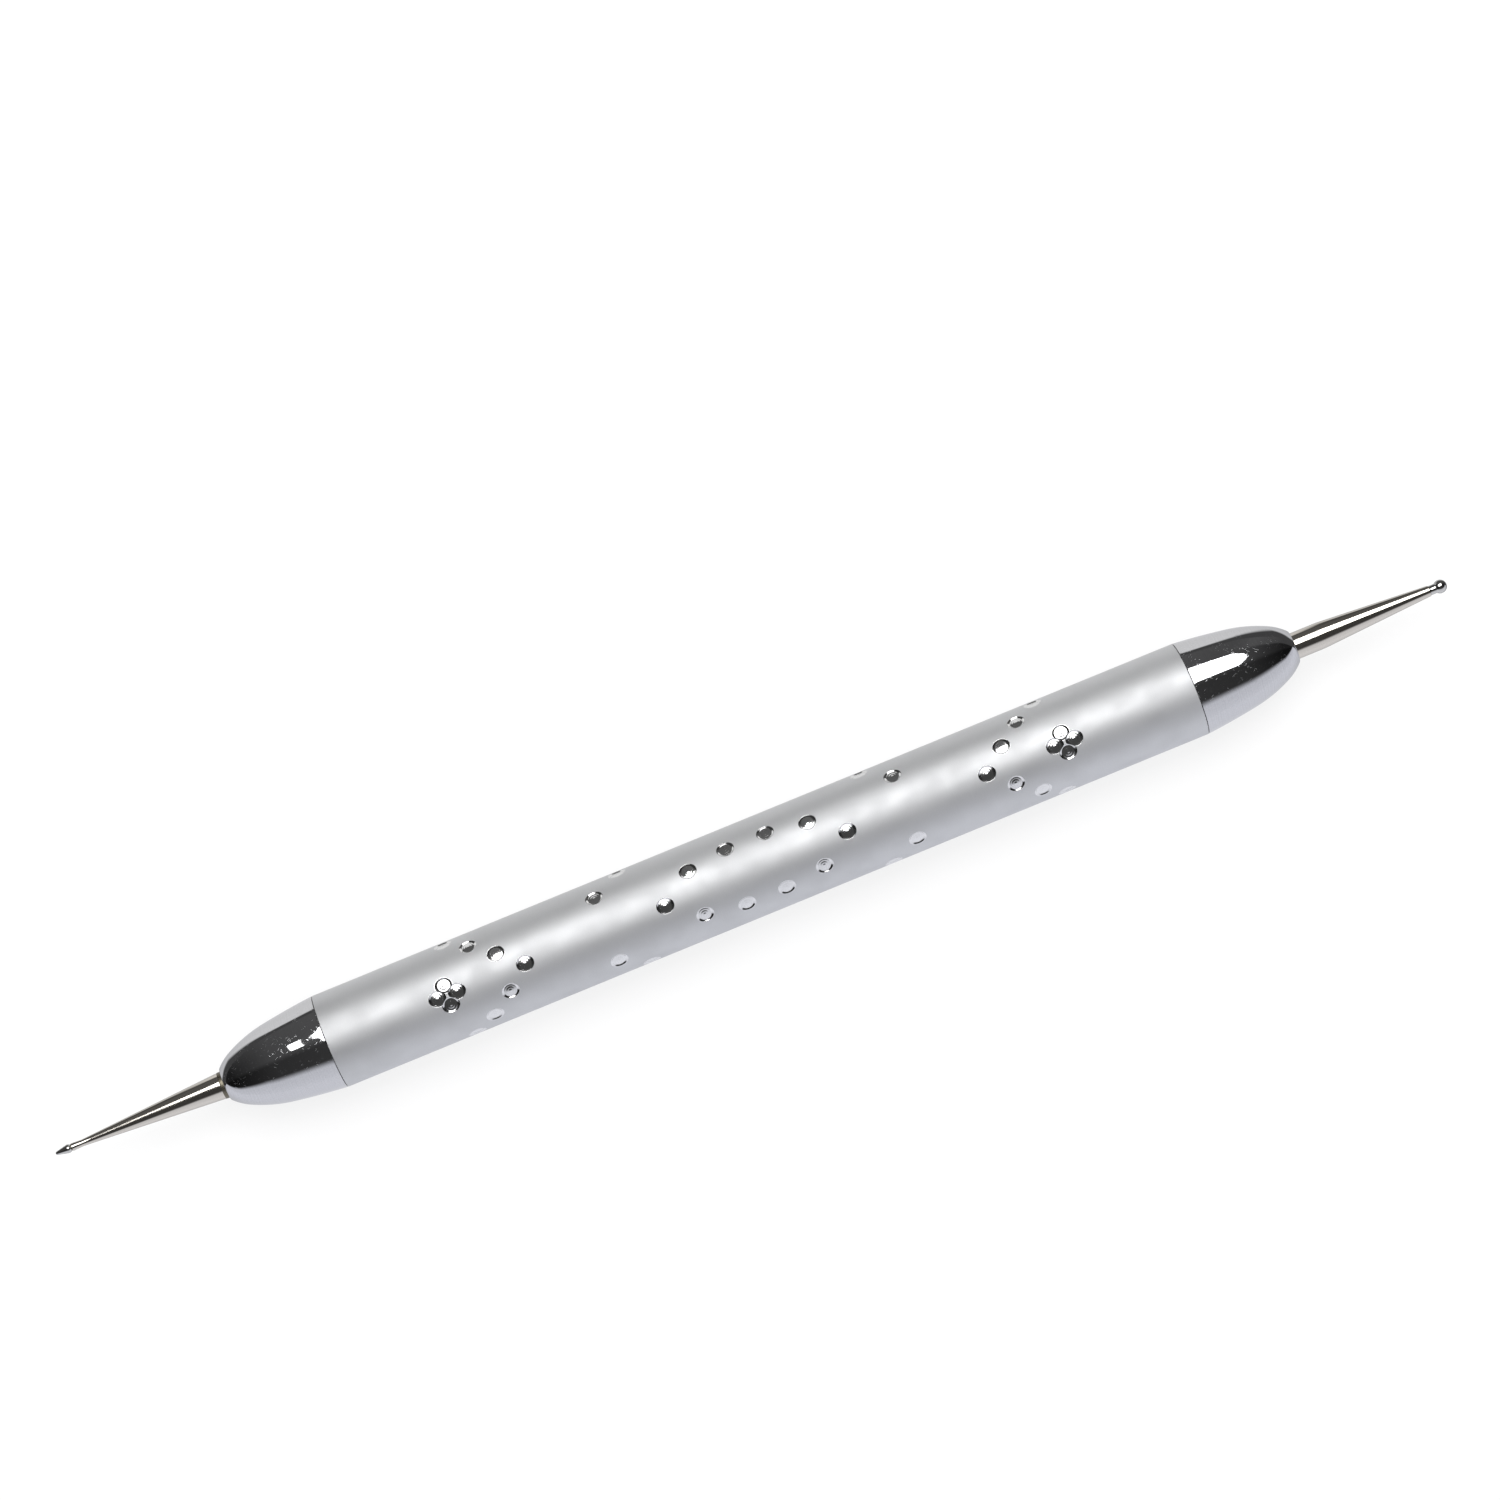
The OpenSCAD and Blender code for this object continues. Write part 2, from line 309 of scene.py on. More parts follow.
class NodeSheet:
    """Short-hand for adding nodes to one node tree and linking them."""

    def __init__(self, tree: Tree) -> None:
        """Keeps the tree that the nodes go into."""
        self.tree = tree

    def add(self, kind: str, inputs: dict | None = None, **settings: object) -> Node:
        """Adds a node.

        Args:
            kind: Type of the node, as Blender names it.
            inputs: A value, or a socket to link from, for each input by name or number.
            settings: Properties of the node.

        Returns:
            The node.
        """
        node = self.tree.nodes.new(kind)
        for key, value in settings.items():
            setattr(node, key, value)
        for key, value in (inputs or {}).items():
            if isinstance(value, Socket):
                self.link(value, node, key)
            else:
                node.inputs[key].default_value = value
        return node

    def link(self, socket: Socket, node: Node, key: str | int) -> None:
        """Links a socket to one of a node's inputs."""
        self.tree.links.new(socket, node.inputs[key])

    def math(self, operation: str, *values: float | Socket) -> Socket:
        """Adds a Math node and returns its output."""
        return self.add("ShaderNodeMath", dict(enumerate(values)), operation=operation).outputs[0]

    def times(self, first: float | Socket, second: float | Socket) -> Socket:
        """Multiplies two numbers."""
        return self.math("MULTIPLY", first, second)

    def total(self, *values: float | Socket) -> Socket:
        """Adds numbers up, from the first to the last."""
        return reduce(lambda first, second: self.math("ADD", first, second), values)

    def place(self, kind: str = "Object") -> Socket:
        """Returns the place on the object in metres, or another kind of coordinates."""
        return self.add("ShaderNodeTexCoord").outputs[kind]

    def apart(self, vector: Socket) -> tuple[Socket, ...]:
        """Takes a vector apart into its x, y and z."""
        return tuple(self.add("ShaderNodeSeparateXYZ", {0: vector}).outputs)

    def spread(self, value: Socket, low: float, high: float, to_low: float = 0.0,
               to_high: float = 1.0, smooth: bool = False) -> Socket:
        """Maps low to high on to another range, held at its ends, and eased there if smooth."""
        ease = "SMOOTHSTEP" if smooth else "LINEAR"
        return self.add("ShaderNodeMapRange", {0: value, 1: low, 2: high, 3: to_low, 4: to_high},
                        interpolation_type=ease).outputs[0]

    def blend(self, share: float | Socket, first: tuple | Socket,
              second: tuple | Socket) -> Socket:
        """Adds a Mix node for colours and returns its colour."""
        node = self.add("ShaderNodeMix", {0: share, 6: first, 7: second}, data_type="RGBA")
        return node.outputs[2]


def new_material(name: str) -> tuple[bpy.types.Material, NodeSheet, Node]:
    """Makes a node material.

    Args:
        name: Name of the material.

    Returns:
        The material, a sheet for its nodes, and its Principled shader.
    """
    material = bpy.data.materials.new(name)
    material.use_nodes = True
    return material, NodeSheet(material.node_tree), material.node_tree.nodes["Principled BSDF"]


class Effect(Enum):
    """Surface effects that several finishes share, each one a node group."""

    GRAIN = "fine_grain"
    TURNING = "turning_lines"
    HANDLING = "handling_marks"


class EffectGroups:
    """Builds each shared effect's node group once. Scales are in features per millimetre."""

    WANDER_SCALE = 0.8
    SMEAR_RANGE = (0.42, 0.72)
    PATCH_RANGE = (0.38, 0.54)
    SPECK_LOT, SPECK_EDGE = 0.72, (0.05, 0.16)
    HAIR_LOT, HAIR_EDGE = 0.4, (0.12, 0.3)
    HAIR_LEANS, HAIR_STRETCH = (0.5, -0.8), (5, 1, 1)

    def __init__(self) -> None:
        """Starts with no group built."""
        self.built: dict[Effect, Tree] = {}

    def place(self, sheet: NodeSheet, effect: Effect, inputs: dict[str, float]) -> Node:
        """Adds an effect to a material's nodes.

        Args:
            sheet: The material's nodes.
            effect: The effect, whose group is built at its first use.
            inputs: Values for the group's inputs.

        Returns:
            The group node.
        """
        if effect not in self.built:
            makers = {Effect.GRAIN: self.grain, Effect.TURNING: self.turning,
                      Effect.HANDLING: self.handling}
            self.built[effect] = makers[effect](effect.value)
        return sheet.add("ShaderNodeGroup", inputs, node_tree=self.built[effect])

    @staticmethod
    def blank(name: str, inputs: dict[str, float],
              outputs: tuple[str, ...]) -> tuple[NodeSheet, Node, Node]:
        """Makes an empty group with named sockets.

        Args:
            name: Name of the group.
            inputs: Each number that goes in, with its first value.
            outputs: Each number that comes out.

        Returns:
            A sheet for its nodes, its input node and its output node.
        """
        tree = bpy.data.node_groups.new(name, "ShaderNodeTree")
        for key in (*inputs, *outputs):
            way = "INPUT" if key in inputs else "OUTPUT"
            socket = tree.interface.new_socket(key, in_out=way, socket_type="NodeSocketFloat")
            socket.default_value = inputs.get(key, 0.0)
        sheet = NodeSheet(tree)
        return sheet, sheet.add("NodeGroupInput"), sheet.add("NodeGroupOutput")

    def grain(self, name: str) -> Tree:
        """Builds a fine even grain with slow drift, as blasting leaves on metal."""
        sheet, given, out = self.blank(name, {"Scale": 20.0, "Drift Scale": 0.4},
                                       ("Grain", "Drift"))
        place = sheet.place()
        for key, output, detail in (("Scale", "Grain", 3.0), ("Drift Scale", "Drift", 2.0)):
            scale = sheet.math("DIVIDE", given.outputs[key], MM)
            noise = sheet.add("ShaderNodeTexNoise",
                              {"Vector": place, "Scale": scale, "Detail": detail})
            sheet.link(noise.outputs["Fac"], out, output)
        return sheet.tree

    def turning(self, name: str) -> Tree:
        """Builds rings of uneven depth round the X axis, as a lathe or a polishing band leaves."""
        sheet, given, out = self.blank(name, {"Line Scale": 12.0, "Waver": 0.3}, ("Lines",))
        place = sheet.place()
        wander = sheet.add("ShaderNodeTexNoise", {"Vector": place,
                                                  "Scale": self.WANDER_SCALE / MM})
        shift = sheet.times(wander.outputs["Fac"], given.outputs["Waver"])
        along = sheet.times(sheet.apart(place)[0], 1 / MM)
        at = sheet.times(sheet.total(along, shift), given.outputs["Line Scale"])
        lines = sheet.add("ShaderNodeTexNoise", {"W": at, "Scale": 1.0, "Detail": 4.0,
                                                 "Roughness": 0.65}, noise_dimensions="1D")
        sheet.link(lines.outputs["Fac"], out, "Lines")
        return sheet.tree

    def handling(self, name: str) -> Tree:
        """Builds faint smears, a scatter of specks, and patches of short hair scratches."""
        sheet, given, out = self.blank(
            name, {"Smear Scale": 0.5, "Speck Scale": 5.0, "Scratch Scale": 6.0},
            ("Smear", "Specks", "Scratches"))
        place = sheet.place()
        smears, specks, hairs = (sheet.math("DIVIDE", given.outputs[key], MM)
                                 for key in ("Smear Scale", "Speck Scale", "Scratch Scale"))
        smear = sheet.add("ShaderNodeTexNoise", {
            "Vector": place, "Scale": smears, "Detail": 5.0, "Roughness": 0.6,
            "Distortion": 0.8}).outputs["Fac"]
        sheet.link(sheet.spread(smear, *self.SMEAR_RANGE), out, "Smear")
        spots = self.spots(sheet, place, specks, self.SPECK_LOT, self.SPECK_EDGE)
        sheet.link(spots, out, "Specks")
        layers = []
        for lean in self.HAIR_LEANS:
            drawn_out = sheet.add("ShaderNodeMapping", {
                "Vector": place, "Rotation": (0, 0, lean), "Scale": self.HAIR_STRETCH},
                vector_type="TEXTURE").outputs[0]
            layers.append(self.spots(sheet, drawn_out, hairs, self.HAIR_LOT, self.HAIR_EDGE))
        patches = sheet.spread(smear, *self.PATCH_RANGE)
        sheet.link(sheet.times(patches, sheet.math("MAXIMUM", *layers)), out, "Scratches")
        return sheet.tree

    @staticmethod
    def spots(sheet: NodeSheet, place: Socket, scale: Socket, least: float,
              edge: Pair) -> Socket:
        """Scatters spots in the cells of a Voronoi pattern.

        Args:
            sheet: Nodes to add to.
            place: Coordinates of the pattern.
            scale: Cells in a metre.
            least: The lot that a cell must draw over to have a spot, from 0 to 1.
            edge: Distances at which a spot starts to fade and is gone.

        Returns:
            1 in the spots and 0 between them.
        """
        cells = sheet.add("ShaderNodeTexVoronoi", {"Vector": place, "Scale": scale})
        lot = sheet.add("ShaderNodeSeparateColor", {0: cells.outputs["Color"]}).outputs[0]
        return sheet.times(sheet.spread(cells.outputs["Distance"], *edge, 1, 0),
                           sheet.math("GREATER_THAN", lot, least))


effects = EffectGroups()


# ---- Finishes


@dataclass(frozen=True)
class Finish:
    """A metal finish: a base colour and roughness that vary with its own marks.

    Grain, lines and rings are heights in millimetres. Smear is the roughness that it adds,
    and specks and scratches are strengths.
    """

    name: str
    color: tuple[float, float, float]
    roughness: float
    grain: float = 0.0
    grain_scale: float = 14.0
    lines: float = 0.0
    line_scale: float = 12.0
    smear: float = 0.0
    specks: float = 0.0
    scratches: float = 0.0
    rings: float = 0.0
    ring_pitch: float = 0.11

    LINE_ROUGHNESS, SPECK_ROUGHNESS, SCRATCH_ROUGHNESS = 0.5, 0.5, 0.3
    DRIFT_RANGE, DRIFT_SHARE = (0.35, 0.65), (0.94, 1.06)
    LINE_RANGE = (0.3, 0.7)
    TONE_RANGE, DULL_SHARE = (0.7, 1.3), 0.9
    DUST = (0.5, 0.18)

    def material(self) -> bpy.types.Material:
        """Returns the finish as a node material, and makes it at its first use.

        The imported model's own plain materials bear the slots' names, so no finish does.
        """
        made = bpy.data.materials.get(self.name)
        return made if made else self.build()

    def shade(self, share: float, lift: float = 0.0) -> tuple[float, ...]:
        """Returns a share of the finish's colour with a lift added to it, and full alpha."""
        return (*(share * c + lift for c in self.color), 1.0)

    def build(self) -> bpy.types.Material:
        """Builds the node material."""
        material, sheet, shader = new_material(self.name)
        shader.inputs["Metallic"].default_value = 1.0
        grain = effects.place(sheet, Effect.GRAIN, {"Scale": self.grain_scale}).outputs
        lines = effects.place(sheet, Effect.TURNING,
                              {"Line Scale": self.line_scale}).outputs["Lines"]
        marks = effects.place(sheet, Effect.HANDLING, {}).outputs
        rough = (share * self.roughness for share in self.DRIFT_SHARE)
        sheet.link(sheet.total(
            sheet.spread(grain["Drift"], *self.DRIFT_RANGE, *rough),
            sheet.spread(lines, *self.LINE_RANGE, 0, self.LINE_ROUGHNESS * self.lines),
            sheet.times(marks["Smear"], self.smear),
            sheet.times(marks["Specks"], self.SPECK_ROUGHNESS * self.specks),
            sheet.times(marks["Scratches"], self.SCRATCH_ROUGHNESS * self.scratches)),
            shader, "Roughness")
        bright = sheet.spread(sheet.total(lines, grain["Grain"]), *self.TONE_RANGE)
        color = sheet.blend(bright, self.shade(self.DULL_SHARE), self.shade(1.0))
        dusty = sheet.times(marks["Specks"], self.specks)
        sheet.link(sheet.blend(dusty, color, self.shade(*self.DUST)), shader, "Base Color")
        sheet.link(self.relief(sheet, grain["Grain"], lines), shader, "Normal")
        return material

    def relief(self, sheet: NodeSheet, grain: Socket, lines: Socket) -> Socket:
        """Adds the bumps of the grain, of the turning lines and of a pocket's cutter rings.

        Args:
            sheet: The material's nodes.
            grain: The grain's height, from 0 to 1.
            lines: The turning lines' height, from 0 to 1.

        Returns:
            The bent normal.
        """
        height = sheet.total(sheet.times(grain, self.grain), sheet.times(lines, self.lines))
        if self.rings:
            away = sheet.add("ShaderNodeAttribute", attribute_name="cut_radius").outputs["Fac"]
            wave = sheet.math("SINE", sheet.times(away, 2 * pi / self.ring_pitch))
            height = sheet.total(height, sheet.times(wave, self.rings))
        bump = sheet.add("ShaderNodeBump", {"Height": height, "Strength": 1.0, "Distance": MM})
        return bump.outputs["Normal"]


SATIN = Finish("satin_anodised", (0.645, 0.65, 0.66), 0.61, grain=0.0006, grain_scale=22,
               lines=0.0004, line_scale=30, smear=0.015)
BARE_CUT = Finish("mirror_cut", (0.73, 0.73, 0.73), 0.12, grain=0.0004, grain_scale=12,
                  specks=0.3, rings=0.0032, ring_pitch=0.22, smear=0.03)
CHROME = Finish("chrome_plate", (0.57, 0.57, 0.585), 0.018, grain=0.00006, grain_scale=7,
                smear=0.02, specks=0.5, scratches=1.0, lines=0.00001, line_scale=8)
STEEL = Finish("ground_steel", (0.64, 0.605, 0.55), 0.09, lines=0.0001, line_scale=20,
               smear=0.03, specks=0.3)
TIP_STEEL = Finish("hardened_tip", (0.58, 0.575, 0.56), 0.05, lines=0.0001, line_scale=30,
                   smear=0.03)
# painted shade: a dark, rough finish for the thin rings at the tips' joints, the teardrop tip's
# groove and the bead at the teardrop nose's mouth, standing in for the shade and dark reflections
# there
PAINTED_SHADE_RING = Finish("painted_shade_ring", (0.17, 0.155, 0.12), 0.38, grain=0.004, grain_scale=12)
MACHINED = Finish("machined_steel", (0.56, 0.55, 0.53), 0.2, lines=0.004, line_scale=14)
BRASS = Finish("turned_brass", (0.74, 0.56, 0.27), 0.2, lines=0.004, line_scale=12)
BORE = Finish("drawn_bore", (0.50, 0.50, 0.51), 0.42, grain=0.003, lines=0.002, line_scale=6)


# ---- The barrel and its pockets


@dataclass(frozen=True)
class PocketFigure:
    """The pockets' form, and the rules that place them on the barrel.

    Places are rows of x in millimetres and angle in radians.
    """

    barrel_r: float = 4.25
    rim_d: float = 1.57
    depth: float = 0.13
    wall: float = 0.21
    crown: float = 0.07
    pip_r: float = 0.03
    shift: float = -0.56
    faces: int = 2
    loop_half_len: float = 8.5
    loop_half_width: float = 2.8
    loop_pitch: float = 3.72
    bow_reach: float = 11.05
    bow_bend: float = 2.9
    bow_step: float = 31.0
    chevron_reach: float = 21.55
    chevron_pitch: float = 2.05
    chevron_step: float = 24.3
    clover_reach: float = 28.8
    clover_spread: float = 0.9

    NEAR_TURN = 0.8
    ROUNDS = 6

    @property
    def floor_r(self) -> float:
        """Returns the radius of a pocket's floor."""
        return self.rim_d / 2 - self.wall

    def half_figure(self) -> Array:
        """Lists the pockets on the side of the figure that points along +X.

        Returns:
            Their places, measured from the middle of the figure.
        """
        sides = np.array([-1.0, 1.0])
        k, side = np.meshgrid([0.5, 1.5], sides)
        x = k * self.loop_pitch
        width = self.loop_half_width * np.sqrt(1 - (x / self.loop_half_len) ** 2)
        loop = np.stack([x, side * width / self.barrel_r], -1).reshape(-1, 2)
        k = np.array([-1.5, -0.5, 0.5, 1.5])
        bow = np.stack([self.bow_reach + self.bow_bend * (k / 1.5) ** 2,
                        np.radians(90 + k * self.bow_step)], -1)
        k, side = np.meshgrid([1.0, 2.0, 3.0], sides)
        chevron = np.stack([self.chevron_reach + k * self.chevron_pitch,
                            np.radians(side * k * self.chevron_step)], -1).reshape(-1, 2)
        spread, turn = self.clover_spread, self.clover_spread / self.barrel_r
        clover = [self.clover_reach, 0] + np.array([[-spread, 0], [spread, 0], [0, -turn],
                                                    [0, turn]])
        points = np.array([[self.loop_half_len, 0], [self.chevron_reach, 0]])
        return np.concatenate([points, loop, bow, chevron, clover])

    @cached_property
    def centres(self) -> Array:
        """Places every pocket on the barrel.

        Returns:
            The pockets' places, at angles between a quarter turn and a turn and a quarter.
        """
        half = self.half_figure()
        figure = np.concatenate([half, half * [-1, 1]])
        turns = 2 * pi / self.faces * np.arange(self.faces)
        rows = np.concatenate([figure + [0, turn] for turn in turns])
        rows[:, 1] = pi / 2 + np.mod(rows[:, 1] - pi / 2, 2 * pi)
        middle = (End.TEARDROP.face_x() + End.BALL.face_x()) / 2
        return rows + [middle + self.shift, 0]

    def height(self, away: Array) -> Array:
        """Gives the height of a pocket's surface over the barrel's axis, at its own middle line.

        Inside the floor's edge the crown rises straight to the pip, and outside it the wall
        rises by the depth for each wall's width.

        Args:
            away: Distance from the pocket's own line.

        Returns:
            The height, as an array of the same shape.
        """
        crown = np.clip((self.floor_r - away) / (self.floor_r - self.pip_r), 0, 1)
        wall = self.depth * np.maximum(away - self.floor_r, 0) / self.wall
        return self.barrel_r - self.depth + self.crown * crown + wall

    def slope(self, away: Array) -> Array:
        """Gives the slope of that surface, as height gained for each step away from the middle."""
        floor = np.where(away > self.pip_r, -self.crown / (self.floor_r - self.pip_r), 0)
        return np.where(away > self.floor_r, self.depth / self.wall, floor)

    def cut_radii(self, spots: Array) -> Array:
        """Finds how far from the barrel's axis each pocket's surface lies in each direction.

        The radius r answers r cos(turn) = height(sqrt(dx^2 + (r sin(turn))^2)), which a few
        rounds of putting r back into the right side settle.

        Args:
            spots: Places to look at.

        Returns:
            A row for each spot and a column for each pocket.
        """
        dx = spots[:, None, 0] - self.centres[None, :, 0]
        turn = wrapped(spots[:, None, 1] - self.centres[None, :, 1])
        far = 2 * self.rim_d
        near = (np.abs(dx) < far) & (np.abs(turn) < self.NEAR_TURN)
        dx, turn = np.where(near, dx, far), np.where(near, turn, 0)
        radius = np.full(dx.shape, self.barrel_r)
        for _ in range(self.ROUNDS):
            away = np.sqrt(dx ** 2 + (radius * np.sin(turn)) ** 2)
            radius = self.height(away) / np.cos(turn)
        return radius

    def deepest(self, spots: Array) -> tuple[Array, Array]:
        """Returns the least radius cut at each spot, and the place of the pocket that cuts it."""
        radii = self.cut_radii(spots)
        return radii.min(1), self.centres[radii.argmin(1)]

    def ring(self, away: Array | float, bearing: Array) -> Array:
        """Puts points on a pocket's surface, as steps along X and in angle from its middle."""
        side = away * np.sin(bearing)
        return np.stack([away * np.cos(bearing), np.arctan2(side, self.height(away))], -1)

    def rim_away(self, bearing: Array) -> Array:
        """Finds how far from its own line a pocket's wall runs out through the barrel.

        The wall's point at distance d has height a + m d and lies on the barrel where
        (d sin)^2 + (a + m d)^2 = R^2.

        Args:
            bearing: Directions round the pocket's line.

        Returns:
            The distances.
        """
        m = self.depth / self.wall
        a = self.barrel_r - self.depth - m * self.floor_r
        square = np.sin(bearing) ** 2 + m ** 2
        return (-a * m + np.sqrt((a * m) ** 2 - square * (a ** 2 - self.barrel_r ** 2))) / square


@dataclass(frozen=True)
class Barrel:
    """The satin barrel: its figured skin, the chamfers at its ends and its bore."""

    figure: PocketFigure = PocketFigure()
    edge: float = 0.03
    bore_r: float = 3.3
    bevel: float = 0.08
    segments: int = 128
    row_step: float = 0.7
    lip: float = 0.02
    clearance: float = 0.08
    ring_points: int = 36
    floor_rings: Pair = (0.66, 0.33)
    ridge_points: int = 15
    ridge_half: float = 0.46
    ridge_search: float = 0.3

    HALVINGS = 24
    SAME = 1e-5
    ON_SKIN = 1e-6

    @staticmethod
    def copies(edges: Array, size: int, count: int) -> Array:
        """Repeats the edges of one run of points for several runs of that size."""
        return (edges[None] + size * np.arange(count)[:, None, None]).reshape(-1, 2)

    def pocket_rings(self) -> tuple[Array, Array]:
        """Lays the rings of every pocket on the barrel.

        Returns:
            The points' places, and the edges that join them.
        """
        f = self.figure
        full = 2 * pi * np.arange(self.ring_points) / self.ring_points
        rim = f.rim_away(full)
        rings = [f.ring(rim, full) * (1 + self.lip / rim)[:, None],
                 f.ring(rim - self.lip, full), f.ring(f.floor_r, full)]
        inner = [share * f.floor_r for share in self.floor_rings] + [f.pip_r]
        rings += [f.ring(radius, full[::2]) for radius in inner]
        sizes = [len(ring) for ring in rings]
        edges = np.concatenate([start + np.stack([np.arange(n), (np.arange(n) + 1) % n], -1)
                                for start, n in zip(np.cumsum([0] + sizes), sizes)])
        stencil = np.concatenate(rings)
        points = (f.centres[:, None] + stencil[None]).reshape(-1, 2)
        return points, self.copies(edges, len(stencil), len(f.centres))

    def ridges(self) -> tuple[Array, Array]:
        """Traces the ridge between each two pockets that overlap.

        Each point starts on the line that halves the gap between the two pockets, and is moved
        along the joining line until both surfaces have one radius, by halving an interval.

        Returns:
            The points' places, and the edges that join them.
        """
        f, count, centres = self.figure, self.ridge_points, self.figure.centres
        scale = np.array([1, f.barrel_r])
        step = (centres[None] - centres[:, None]) * scale
        first, second = np.nonzero(np.hypot(step[..., 0], step[..., 1]) < f.rim_d)
        first, second = first[first < second], second[first < second]
        a, b = centres[first] * scale, centres[second] * scale
        ahead = (b - a) / np.linalg.norm(b - a, axis=1, keepdims=True)
        across = np.stack([-ahead[:, 1], ahead[:, 0]], -1)
        line = np.linspace(-self.ridge_half, self.ridge_half, count)
        base = ((a + b) / 2)[:, None] + across[:, None] * line[None, :, None]
        low = np.full(base.shape[:2], -self.ridge_search)
        high = -low
        pair, pick = np.arange(len(first)).repeat(count), np.arange(count * len(first))

        def moved(by: Array) -> Array:
            """Moves the points along the joining lines and gives their places."""
            return (base + ahead[:, None] * by[..., None]).reshape(-1, 2) / scale

        for _ in range(self.HALVINGS):
            middle = (low + high) / 2
            radii = f.cut_radii(moved(middle))
            nearer = (radii[pick, first[pair]] < radii[pick, second[pair]]).reshape(low.shape)
            low, high = np.where(nearer, middle, low), np.where(nearer, high, middle)
        links = np.stack([np.arange(count - 1), np.arange(1, count)], -1)
        return moved((low + high) / 2), self.copies(links, count, len(first))

    def net(self, start: float, stop: float) -> tuple[Array, Array]:
        """Nets the unrolled skin: an even grid with the pockets' rings and ridges let into it.

        The triangles are the constrained Delaunay triangles of those points, between a quarter
        turn and a turn and a quarter, where no pocket crosses the seam.

        Args:
            start: Where the skin starts along X.
            stop: Where it ends.

        Returns:
            The points' places, and rows of three point numbers.
        """
        rows = np.linspace(start, stop, int((stop - start) / self.row_step) + 1)
        turns = pi / 2 + 2 * pi * np.arange(self.segments + 1) / self.segments
        grid = np.stack(np.meshgrid(rows, turns, indexing="ij"), -1).reshape(-1, 2)
        scale = np.array([1, self.figure.barrel_r])
        gap = (grid[:, None] - self.figure.centres[None]) * scale
        least = self.figure.rim_d / 2 + self.clearance
        clear = np.hypot(gap[..., 0], gap[..., 1]).min(1) > least
        number = np.arange(len(grid)).reshape(len(rows), -1)
        border = np.concatenate([number[0], number[1:, -1], number[-1, -2::-1],
                                 number[-2::-1, 0]])
        border = (np.cumsum(clear) - 1)[np.stack([border[:-1], border[1:]], -1)]
        sets = [(grid[clear], border), self.pocket_rings(), self.ridges()]
        points, linked = joined([(own, [(links, 0)]) for own, links in sets])
        edges = np.concatenate([links for links, _ in linked])
        flat = (points * scale)[:, ::-1]
        found = delaunay_2d_cdt(flat.tolist(), edges.tolist(), [], 0, 1e-7)
        spots = np.array([tuple(v) for v in found[0]])[:, ::-1] / scale
        return spots, np.array(found[2])

    def corner_normals(self, spots: Array, radius: Array, faces: Array) -> Array:
        """Works out the true normal of the surface at each corner of each triangle.

        On the skin it points away from the axis. In a pocket it is (-h' dx/d, -h' side/d, 1)
        along X, round the barrel and out along the pocket's own line, with d the distance from
        that line and h' the slope there. A triangle on the lip takes both.

        Args:
            spots: Places of the points.
            radius: The points' distances from the axis.
            faces: Rows of three point numbers.

        Returns:
            An array of faces by three corners by x, y and z.
        """
        f, at, radius = self.figure, spots[faces], radius[faces]
        _, own = f.deepest(at.mean(1))
        dx, turn = at[..., 0] - own[:, None, 0], wrapped(at[..., 1] - own[:, None, 1])
        side = radius * np.sin(turn)
        away = np.maximum(np.hypot(dx, side), 1e-6)
        mid_side = radius.mean(1) * np.sin(turn.mean(1))
        slope = f.slope(np.hypot(dx.mean(1), mid_side))[:, None]
        along, around = -slope * dx / away, -slope * side / away
        sin, cos = np.sin(own[:, None, 1]), np.cos(own[:, None, 1])
        cut = np.stack([along, -around * cos - sin, -around * sin + cos], -1)
        skin = np.stack([0 * turn, -np.sin(at[..., 1]), np.cos(at[..., 1])], -1)
        normal = np.where((radius > f.barrel_r - self.ON_SKIN)[..., None], skin, cut)
        return normal / np.linalg.norm(normal, axis=-1, keepdims=True)

    def build(self) -> Piece:
        """Makes the barrel's mesh and dresses it."""
        f = self.figure
        start, stop = End.TEARDROP.face_x(), End.BALL.face_x()
        spots, faces = self.net(start + self.edge, stop - self.edge)
        radius, own = f.deepest(spots)
        radius = np.minimum(radius, f.barrel_r)
        side = radius * np.sin(wrapped(spots[:, 1] - own[:, 1]))
        away = np.hypot(spots[:, 0] - own[:, 0], side)
        normals = self.corner_normals(spots, radius, faces)

        # the net's last column is its first, a turn later
        left, right = (self.line(spots, 1, turn) for turn in (pi / 2, pi / 2 + 2 * pi))
        same, kept = np.arange(len(spots)), np.ones(len(spots), bool)
        same[right] = left
        kept[right] = False
        faces = (np.cumsum(kept) - 1)[same][faces]
        spots, radius, away = spots[kept], radius[kept], away[kept]
        skin = on_axis(spots[:, 0], spots[:, 1], radius)
        cut = (radius < f.barrel_r - self.ON_SKIN)[faces].any(1)

        # rings from one end of the net to the other: the chamfers, and the bore between them
        low, high = (self.line(spots, 0, x) for x in (start + self.edge, stop - self.edge))
        outer, inner = f.barrel_r - self.edge, self.bore_r + self.bevel
        lathe = np.array([[stop, outer], [stop, inner], [stop - self.bevel, self.bore_r],
                          [start + self.bevel, self.bore_r], [start, inner], [start, outer]])
        more = on_axis(lathe[:, :1], spots[low, 1][None], lathe[:, 1:])
        table = len(skin) + np.arange(more[..., 0].size).reshape(more.shape[:2])
        quads = strip(np.concatenate([high[None], table, low[None]]))
        ends, bore = (quads[rows].reshape(-1, 4) for rows in ([0, 1, 5, 6], [2, 3, 4]))
        points = np.concatenate([skin, more.reshape(-1, 3)])
        blocks = [(faces[~cut], 0), (faces[cut], 1), (ends, 1), (bore, 2)]
        piece = make_piece("barrel_figured", points, blocks, [SATIN, BARE_CUT, BORE])

